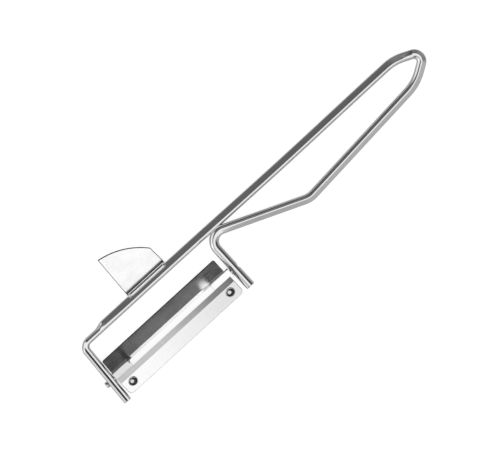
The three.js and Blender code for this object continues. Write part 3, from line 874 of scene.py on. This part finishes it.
def rivet_holes():
    """The centres and axes of the rivets' holes."""
    return [(blade_point(x, RIVET_SETBACK, 0), out_of_plate) for x in (rivet_left_x, rivet_right_x)]


def build_fin(materials):
    """The eye remover: flange round the wire, valley fold and flat fin, trimmed to its outline."""
    flange_radius = WIRE_RADIUS + FLANGE_GAP + FIN_THICKNESS / 2
    fold_angle = math.radians(FLANGE_FOLD_DEG)
    rise = math.radians(FIN_RISE_DEG)
    fold_centre = Vector((math.cos(fold_angle), math.sin(fold_angle))) * (flange_radius + FOLD_RADIUS)
    end_x = FIN_START + FIN_WIDTH
    stations = []
    edge_end = FLANGE_TOP_DEG - math.degrees(FLANGE_EDGE_WIDTH / flange_radius)
    edge_angles = spread(FLANGE_TOP_DEG, edge_end, len(FLANGE_EDGE_LIFTS))
    below_edge = spread(edge_end, FLANGE_FOLD_DEG, FLANGE_STEPS)[1:-1]
    for angle in (math.radians(a) for a in edge_angles + below_edge):
        out = Vector((math.cos(angle), math.sin(angle)))
        stations.append((out * flange_radius, out))
    for angle in spread(math.pi + fold_angle, 1.5 * math.pi + rise, FOLD_STEPS):
        away = Vector((math.cos(angle), math.sin(angle)))
        stations.append((fold_centre + away * FOLD_RADIUS, -away))
    foot, out = stations[-1]
    tip = Vector((FIN_START + FIN_TIP_INSET, FIN_TIP_REACH))
    side = Vector((end_x - FIN_SIDE_INSET, FIN_SIDE_REACH))
    chord = side - tip
    pull = (tip + side) / 2 + Vector((-chord.y, chord.x)).normalized() * 2 * FIN_BULGE
    reach_shift = -out.x * FIN_THICKNESS / 2
    bm = bmesh.new()

    def sheet_pair(x, point, normal, upper=1.0):
        pair = []
        for lift in (upper, -1):
            place = point + normal * (lift * FIN_THICKNESS / 2)
            pair.append(bm.verts.new(to_frame((x, place.x, place.y))))
        return tuple(pair)

    columns = spread(FIN_START, end_x, FIN_COLUMNS)
    bent = []
    for k, (point, normal) in enumerate(stations):
        upper = FLANGE_EDGE_LIFTS[k] if k < len(FLANGE_EDGE_LIFTS) else 1
        bent.append([sheet_pair(x, point, normal, upper) for x in columns])
    first_fold = len(edge_angles) + len(below_edge)
    for i, (row, below) in enumerate(zip(bent, bent[1:])):
        for k in range(len(columns) - 1):
            for face in (0, 1):
                corners = (row[k][face], row[k + 1][face], below[k + 1][face], below[k][face])
                # The upper faces in the valley take the fold material: painted shade in the crease.
                in_valley = face == 0 and i >= first_fold
                bm.faces.new(corners).material_index = 2 if in_valley else 0
    edge = []
    for t in spread(0, 1, FIN_ARC_STEPS):
        spot = side * (1 - t) ** 2 + pull * 2 * t * (1 - t) + tip * t**2
        climb = Vector((1, math.tan(rise))) * (spot.y - foot.x - reach_shift)
        edge.append(sheet_pair(spot.x, foot + climb, out))
    flat = bent[-1] + edge
    for face in (0, 1):
        bm.faces.new([pair[face] for pair in flat])
    right_side = [row[-1] for row in bent[1:]]
    left_side = [row[0] for row in reversed(bent[1:])]
    outline = [*bent[0], *right_side, *edge, *left_side]
    # Rounded rims run from the fin's right side round to the flange's left end, short of its thinned edge.
    # These and the rims after them take the dark edge material, painted shade; the rims before them, along
    # the flange's edge and its right end, have the sheet's look.
    first_soft = len(columns) - 1 + len(right_side)
    soft = range(first_soft, len(outline) - 2 - len(FLANGE_EDGE_LIFTS))
    rims = close_sheet(bm, outline, 1, lambda k: k in soft)
    for rim in rims[:first_soft]:
        rim.material_index = 0
    lay_out_uv(bm, Vector((1, 0, 0)), Vector((0, 1, 0)))
    piece = make_object("eye_remover_fin", bm, materials, "handle", "eye_remover")
    bevel_weighted(piece, FIN_EDGE_BREAK, 1)
    flatten_normals(piece)


# Rivets and pins


def lathe(name, profile, place, materials, node, sunk=(), boss=(), shift=0):
    """A closed turned piece. The profile is (radius, height) from axis to axis, in millimetres.

    Rings counted in sunk take the second material, on the rivets the recess's painted shade. Rings in boss
    are shifted sideways.
    """
    bm = bmesh.new()
    rings = []
    for i, (radius, height) in enumerate(profile):
        aside = Vector((-shift if i in boss else 0, 0, height))
        if radius == 0:
            rings.append([bm.verts.new(to_frame(place @ aside))])
            continue
        angles = spread(0, 2 * math.pi, TURNED_SIDES)[:-1]
        spots = [Vector((radius * math.cos(a), radius * math.sin(a), 0)) + aside for a in angles]
        rings.append([bm.verts.new(to_frame(place @ spot)) for spot in spots])
    for i, (low, high) in enumerate(zip(rings, rings[1:])):
        for k in range(TURNED_SIDES):
            n = (k + 1) % TURNED_SIDES
            if len(low) == 1:
                face = bm.faces.new((low[0], high[n], high[k]))
            elif len(high) == 1:
                face = bm.faces.new((low[k], low[n], high[0]))
            else:
                face = bm.faces.new((low[k], low[n], high[n], high[k]))
            face.material_index = 1 if i in sunk else 0
    piece = make_object(name, bm, materials, "blade_head", node)
    sharpen(piece, TURNED_SHARP_DEG)


def arc(side, height, radius, start_deg, end_deg):
    """Profile points on an arc whose centre is at a height, and which touches a side."""
    turns = [math.radians(a) for a in spread(start_deg, end_deg, ARC_STEPS)]
    return [(side - radius + radius * math.cos(a), height + radius * math.sin(a)) for a in turns]


def build_rivet(name, x, node, materials):
    """A rivet: its tail below the carrier, and a head with a recess, painted dark as shade, round an
    off-centre boss.
    """
    under = -(BLADE_THICKNESS + LAYER_GAP + CARRIER_THICKNESS)
    tail = under - RIVET_TAIL_HEIGHT
    rim = RIVET_HEAD_RADIUS - RIVET_RIM
    outer = [
        (0, tail),
        (RIVET_TAIL_FLAT_RADIUS, tail),
        *arc(RIVET_TAIL_RADIUS, tail + RIVET_TAIL_ROUNDING, RIVET_TAIL_ROUNDING, -90, 0),
        (RIVET_TAIL_RADIUS, under),
        (RIVET_SHANK_RADIUS, under),
        (RIVET_SHANK_RADIUS, 0),
        (RIVET_HEAD_RADIUS, 0),
        *arc(RIVET_HEAD_RADIUS, RIVET_HEAD_SIDE, RIVET_HEAD_ROUNDING, 0, 90),
    ]
    recess = [(rim - inset, height) for inset, height in RECESS_FROM_RIM]
    foot = [(RIVET_BOSS_RADIUS + outset, height) for outset, height in RECESS_FROM_BOSS]
    dome = arc(RIVET_BOSS_RADIUS, RIVET_BOSS_SIDE, RIVET_BOSS_ROUNDING, RIVET_BOSS_START_DEG, 90)
    profile = [*outer, *recess, *foot, *dome, (0, RIVET_BOSS_TOP)]
    boss_start = len(outer) + len(recess)
    sunk = range(len(outer) - 1, boss_start + len(foot) - 1)
    off_centre = range(boss_start, len(profile))
    centre = blade_point(x, RIVET_SETBACK, BLADE_THICKNESS)
    across = Vector((1, 0, 0))
    turn = Matrix((across, out_of_plate.cross(across), out_of_plate)).transposed().to_4x4()
    spin = Matrix.Rotation(math.radians(RIVET_SPIN_DEG), 4, "Z")
    place = Matrix.Translation(centre) @ turn @ spin
    lathe(name, profile, place, materials, node, sunk, off_centre, RIVET_BOSS_SHIFT)


def build_pin(name, head_x, end_x, node, material, proud=0):
    """A pivot pin with its head behind the ear. Its outer end is peened wider where it stands proud."""
    length = abs(end_x - head_x)
    peen = PIN_PEEN if proud else 0
    outer = PIN_RADIUS + peen
    direction = 1 if end_x > head_x else -1
    profile = [
        (0, 0),
        *arc(PIN_HEAD_RADIUS, PIN_HEAD_ROUNDING, PIN_HEAD_ROUNDING, -90, 0),
        (PIN_HEAD_RADIUS, PIN_HEAD_HEIGHT),
        (PIN_RADIUS, PIN_HEAD_HEIGHT),
        *([(PIN_RADIUS, length - proud), (outer, length - proud + peen)] if peen else []),
        *arc(outer, length - PIN_ROUNDING, PIN_ROUNDING, 0, 90),
        (0, length),
    ]
    turn = Matrix.Rotation(direction * math.pi / 2, 4, "Y")
    place = Matrix.Translation((head_x, -PIVOT_DROP, 0)) @ turn
    lathe(name, profile, place, [material], node)


# Materials


def math_node(tree, operation, *values):
    """The result of an operation on numbers and sockets."""
    node = tree.nodes.new("ShaderNodeMath")
    node.operation = operation
    for value, socket in zip(values, node.inputs):
        if isinstance(value, (int, float)):
            socket.default_value = value
        else:
            tree.links.new(value, socket)
    return node.outputs["Value"]


def range_node(tree, value, start, end, low, high, interpolation="LINEAR"):
    """A value moved from one range to another."""
    node = tree.nodes.new("ShaderNodeMapRange")
    node.interpolation_type = interpolation
    limits = {"From Min": start, "From Max": end, "To Min": low, "To Max": high}
    for name, limit in limits.items():
        node.inputs[name].default_value = limit
    tree.links.new(value, node.inputs["Value"])
    return node.outputs["Result"]


class Nodes:
    """Short names for building a material's node tree."""

    def __init__(self, name):
        self.material = bpy.data.materials.new(name)
        self.material.use_nodes = True
        self.tree = self.material.node_tree
        self.shader = self.tree.nodes["Principled BSDF"]
        self.shader.inputs["Metallic"].default_value = 1

    def add(self, kind):
        return self.tree.nodes.new(kind)

    def link(self, output, target):
        self.tree.links.new(output, target)

    def stretched_noise(self, scale, detail, source="UV", roughness=0.6):
        """Noise over the piece's own coordinates, stretched by a scale along each of them."""
        coords = self.add("ShaderNodeTexCoord")
        mapping = self.add("ShaderNodeMapping")
        mapping.inputs["Scale"].default_value = scale
        noise = self.add("ShaderNodeTexNoise")
        noise.inputs["Scale"].default_value = 1
        noise.inputs["Detail"].default_value = detail
        noise.inputs["Roughness"].default_value = roughness
        self.link(coords.outputs[source], mapping.inputs["Vector"])
        self.link(mapping.outputs["Vector"], noise.inputs["Vector"])
        return noise.outputs["Fac"]

    def ranged(self, value, low, high, from_low=0.3, from_high=0.7):
        """Moves a value into a range. Most of a noise lies between 0.3 and 0.7."""
        return range_node(self.tree, value, from_low, from_high, low, high)

    def colour(self, factor, first, second):
        """Blends two colours into the base colour."""
        node = self.add("ShaderNodeMix")
        node.data_type = "RGBA"
        node.inputs["A"].default_value = (*first, 1)
        node.inputs["B"].default_value = (*second, 1)
        self.link(factor, node.inputs["Factor"])
        self.link(node.outputs["Result"], self.shader.inputs["Base Color"])

    def roughness(self, value, *ranges):
        """Moves a value into the roughness's range."""
        self.link(self.ranged(value, *ranges), self.shader.inputs["Roughness"])

    def sum(self, first, second):
        return math_node(self.tree, "ADD", first, second)

    def along(self, start, end):
        """Rises from 0 to 1 along the piece, between two places of its layout."""
        coords = self.add("ShaderNodeTexCoord")
        parts = self.add("ShaderNodeSeparateXYZ")
        self.link(coords.outputs["UV"], parts.inputs["Vector"])
        return self.ranged(parts.outputs["X"], 0, 1, start, end)

    def bump(self, height, distance_mm, strength):
        node = self.add("ShaderNodeBump")
        node.inputs["Distance"].default_value = distance_mm * MM
        node.inputs["Strength"].default_value = strength
        self.link(height, node.inputs["Height"])
        self.link(node.outputs["Normal"], self.shader.inputs["Normal"])


def wire_material():
    """Bright plated wire: fine drawing lines along it and a faint cloudiness."""
    n = Nodes("plated_wire")
    lines = n.stretched_noise((40, 60, 1), 4)
    clouds = n.stretched_noise((180, 180, 180), 3, source="Object")
    n.colour(clouds, (0.72, 0.725, 0.73), (0.82, 0.82, 0.82))
    n.roughness(n.sum(lines, clouds), 0.09, 0.19, 0.7, 1.3)
    n.bump(lines, 0.02, 0.25)
    return n.material


def carrier_material():
    """Bright stamped sheet, a little uneven from the press, with painted shade that darkens it towards the
    left leg.
    """
    n = Nodes("stamped_sheet")
    rolling = n.stretched_noise((8, 220, 1), 3)
    dents = n.stretched_noise((150, 150, 150), 2, source="Object")
    # Painted shade: the tone ramps from darker at the left leg to lighter towards the right.
    tone = n.ranged(n.sum(n.along(0.1, 0.9), dents), 0, 1, 0.3, 1.7)
    n.colour(tone, (0.66, 0.662, 0.67), (0.98, 0.975, 0.98))
    n.roughness(n.sum(rolling, dents), 0.15, 0.24, 0.7, 1.3)
    n.bump(n.sum(rolling, dents), 0.06, 0.25)
    return n.material


def fin_material():
    """Satin sheet with a fine grain along the arm and a few darker clouds."""
    n = Nodes("satin_sheet")
    grain = n.stretched_noise((12, 500, 1), 5)
    clouds = n.stretched_noise((150, 150, 150), 3, source="Object")
    tone = n.ranged(n.sum(grain, clouds), 0, 1, 0.75, 1.25)
    n.colour(tone, (0.8, 0.803, 0.812), (0.96, 0.96, 0.96))
    n.roughness(n.sum(grain, clouds), 0.11, 0.22, 0.7, 1.3)
    n.bump(grain, 0.03, 0.3)
    return n.material


def plate_material():
    """Hardened strip with a satin roll finish, streaks along the blade, a few scuffs across it, and
    painted light that makes it lighter towards its left end.
    """
    n = Nodes("blade_strip")
    streaks = n.stretched_noise((5, 110, 1), 3)
    scuffs = n.stretched_noise((40, 8, 1), 3)
    clouds = n.stretched_noise((110, 110, 110), 3, source="Object")
    marks = n.sum(n.sum(streaks, clouds), scuffs)
    # Painted light: the plate grows lighter towards its left end.
    painted_light_ramp = n.along(-0.5, -1.1)
    tone = n.ranged(n.sum(marks, n.sum(painted_light_ramp, painted_light_ramp)), 0, 1, 1.2, 3.8)
    n.colour(tone, (0.72, 0.719, 0.728), (0.97, 0.966, 0.97))
    n.roughness(marks, 0.17, 0.32, 1.2, 1.8)
    n.bump(marks, 0.03, 0.3)
    return n.material


def bevel_material():
    """The ground bevel: grinding lines run across it, from the edge to the plate. Painted light makes it
    lighter towards its left end and darker at its right.
    """
    n = Nodes("ground_bevel")
    marks = n.stretched_noise((260, 3, 1), 4, roughness=0.75)
    patches = n.stretched_noise((5, 3, 1), 2)
    # Painted light: the bevel grows lighter towards its left end.
    painted_light_ramp = n.along(-0.4, -0.95)
    tone = n.ranged(n.sum(n.sum(marks, patches), n.sum(painted_light_ramp, painted_light_ramp)), 0, 1, 0.7, 3.0)
    n.colour(tone, (0.14, 0.14, 0.142), (0.64, 0.635, 0.64))
    n.roughness(marks, 0.34, 0.52)
    n.bump(marks, 0.05, 0.5)
    return n.material


def mottled(name, scale, detail, dark, light, roughness, relief):
    """A dull metal that has one noise for its colour, roughness and relief."""
    n = Nodes(name)
    mottle = n.stretched_noise(scale, detail, source="Object")
    n.colour(mottle, dark, light)
    n.roughness(mottle, *roughness)
    n.bump(mottle, *relief)
    return n.material


def edge_shade_material():
    """The sheared edges of the sheet and the bar's margin: dull and torn, with their colour painted near
    black as shade.
    """
    colours = (0.02, 0.02, 0.021), (0.08, 0.08, 0.082)
    return mottled("edge_shade", (1500, 1500, 1500), 3, *colours, (0.42, 0.6), (0.03, 0.4))


def fold_shade_material():
    """The inside of the fold, stretched dull, its colour darkened as painted shade in the crease."""
    colours = (0.1, 0.099, 0.1), (0.34, 0.337, 0.34)
    return mottled("painted_fold_shade", (300, 900, 900), 3, *colours, (0.3, 0.45), (0.02, 0.3))


def recess_shade_material():
    """The rolled recess of a rivet, dull, darkened as painted shade in the hollow."""
    colours = (0.03, 0.03, 0.032), (0.1, 0.1, 0.1)
    return mottled("rivet_recess_painted_shade", (1200, 1200, 1200), 3, *colours, (0.4, 0.6), (0.02, 0.3))


def rivet_material():
    """Rolled steel with a mottled tone."""
    colours = (0.6, 0.6, 0.61), (0.76, 0.76, 0.765)
    return mottled("rolled_steel", (900, 900, 900), 4, *colours, (0.16, 0.32), (0.02, 0.3))


# Stage, light and camera


def build_floor():
    """A pale floor. Its own lit colour keeps the shadow, and a lift for seen rays makes it white."""
    bpy.ops.mesh.primitive_plane_add(size=FLOOR_SIZE)
    floor = bpy.context.object
    floor.name = "floor"
    material = bpy.data.materials.new("pale_floor")
    material.use_nodes = True
    tree = material.node_tree
    shader = tree.nodes["Principled BSDF"]
    shader.inputs["Base Color"].default_value = (FLOOR_TONE, FLOOR_TONE, FLOOR_TONE, 1)
    shader.inputs["Roughness"].default_value = 1
    shader.inputs["Specular IOR Level"].default_value = 0
    shader.inputs["Emission Color"].default_value = (1, 1, 1, 1)
    rays = tree.nodes.new("ShaderNodeLightPath").outputs
    mirrored = math_node(tree, "MAXIMUM", rays["Is Glossy Ray"], rays["Is Transmission Ray"])
    dimmed = math_node(tree, "MULTIPLY", mirrored, FLOOR_MIRRORED)
    lift = math_node(tree, "MULTIPLY_ADD", rays["Is Camera Ray"], FLOOR_LIFT, dimmed)
    tree.links.new(lift, shader.inputs["Emission Strength"])
    floor.data.materials.append(material)


def build_world():
    """A wide soft box overhead, dim walls that pale towards the horizon, and white where they are seen."""
    world = bpy.data.worlds.new("studio")
    bpy.context.scene.world = world
    world.use_nodes = True
    tree = world.node_tree
    background = tree.nodes["Background"]
    coords = tree.nodes.new("ShaderNodeTexCoord")
    parts = tree.nodes.new("ShaderNodeSeparateXYZ")
    tree.links.new(coords.outputs["Generated"], parts.inputs["Vector"])

    def maths(operation, first, second):
        return math_node(tree, operation, first, second)

    def ramp(value, start, end, low, high):
        return range_node(tree, value, start, end, low, high, "SMOOTHSTEP")

    def towards(direction):
        node = tree.nodes.new("ShaderNodeVectorMath")
        node.operation = "DOT_PRODUCT"
        node.inputs[1].default_value = Vector(direction).normalized()
        tree.links.new(coords.outputs["Generated"], node.inputs[0])
        return node.outputs["Value"]

    up = maths("MAXIMUM", parts.outputs["Z"], LEAST_UP)
    box = None
    for axis, low, low_edge, high, high_edge in BOX_SIDES_DEG:
        angle = maths("ARCTAN2", parts.outputs[axis], up)
        rising = ramp(angle, math.radians(low - low_edge), math.radians(low), 0, 1)
        falling = ramp(angle, math.radians(high), math.radians(high + high_edge), 1, 0)
        inside = maths("MULTIPLY", rising, falling)
        box = inside if box is None else maths("MULTIPLY", box, inside)
    walls = ramp(parts.outputs["Z"], WALL_FOOT, WALL_TOP, HORIZON_LEVEL, WALL_LEVEL)
    for direction, outer, inner, level in WALL_GLOW:
        walls = maths("ADD", walls, ramp(towards(direction), outer, inner, 0, level))
    beside_box = maths("MULTIPLY", walls, maths("SUBTRACT", 1, box))
    light = maths("ADD", maths("MULTIPLY", box, BOX_LEVEL), beside_box)
    rays = tree.nodes.new("ShaderNodeLightPath").outputs
    pick = tree.nodes.new("ShaderNodeMix")
    pick.data_type = "FLOAT"
    tree.links.new(rays["Is Camera Ray"], pick.inputs["Factor"])
    tree.links.new(light, pick.inputs["A"])
    pick.inputs["B"].default_value = 1
    tree.links.new(pick.outputs["Result"], background.inputs["Strength"])
    background.inputs["Color"].default_value = (1, 1, 1, 1)


def build_camera():
    """Straight above, turned so that the arm rises to the right as in the picture."""
    data = bpy.data.cameras.new("camera")
    data.sensor_width = SENSOR_WIDTH
    data.lens = SENSOR_WIDTH * CAMERA_DISTANCE / (IMAGE_WIDTH * MM_PER_PIXEL * MM)
    data.clip_end = CAMERA_REACH
    camera = bpy.data.objects.new("camera", data)
    bpy.context.scene.collection.objects.link(camera)
    target = to_frame((CENTRE_ALONG_ARM, CENTRE_ACROSS_ARM, 0))
    camera.location = target + Vector((0, 0, CAMERA_DISTANCE))
    camera.rotation_euler = (0, 0, -math.radians(ARM_TILT_DEG))
    bpy.context.scene.camera = camera


def build_object():
    """All eight pieces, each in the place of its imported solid."""
    edge_shade = edge_shade_material()
    rivet_steel = rivet_material()
    rivet_looks = [rivet_steel, recess_shade_material()]
    build_wire(wire_material())
    build_fin([fin_material(), edge_shade, fold_shade_material()])
    build_carrier([carrier_material(), edge_shade])
    build_blade([plate_material(), bevel_material(), edge_shade])
    build_rivet("rivet_left", rivet_left_x, "blade_rivet_left", rivet_looks)
    build_rivet("rivet_right", rivet_right_x, "blade_rivet_right", rivet_looks)
    behind_ear = CARRIER_THICKNESS + LAYER_GAP + PIN_HEAD_HEIGHT
    left_end = left_leg_x - (WIRE_RADIUS - PRESSED_LEG_DEPTH) - LEFT_PIN_PROUD
    right_end = LEG_SPACING + WIRE_RADIUS - RIGHT_PIN_RECESS
    build_pin("pin_left", left_ear_x + behind_ear, left_end, "pivot_pin_left", rivet_steel, LEFT_PIN_PROUD)
    build_pin("pin_right", right_ear_x - behind_ear, right_end, "pivot_pin_right", rivet_steel)


build_object()
build_floor()
build_world()
build_camera()
bpy.context.scene.view_settings.view_transform = "Standard"
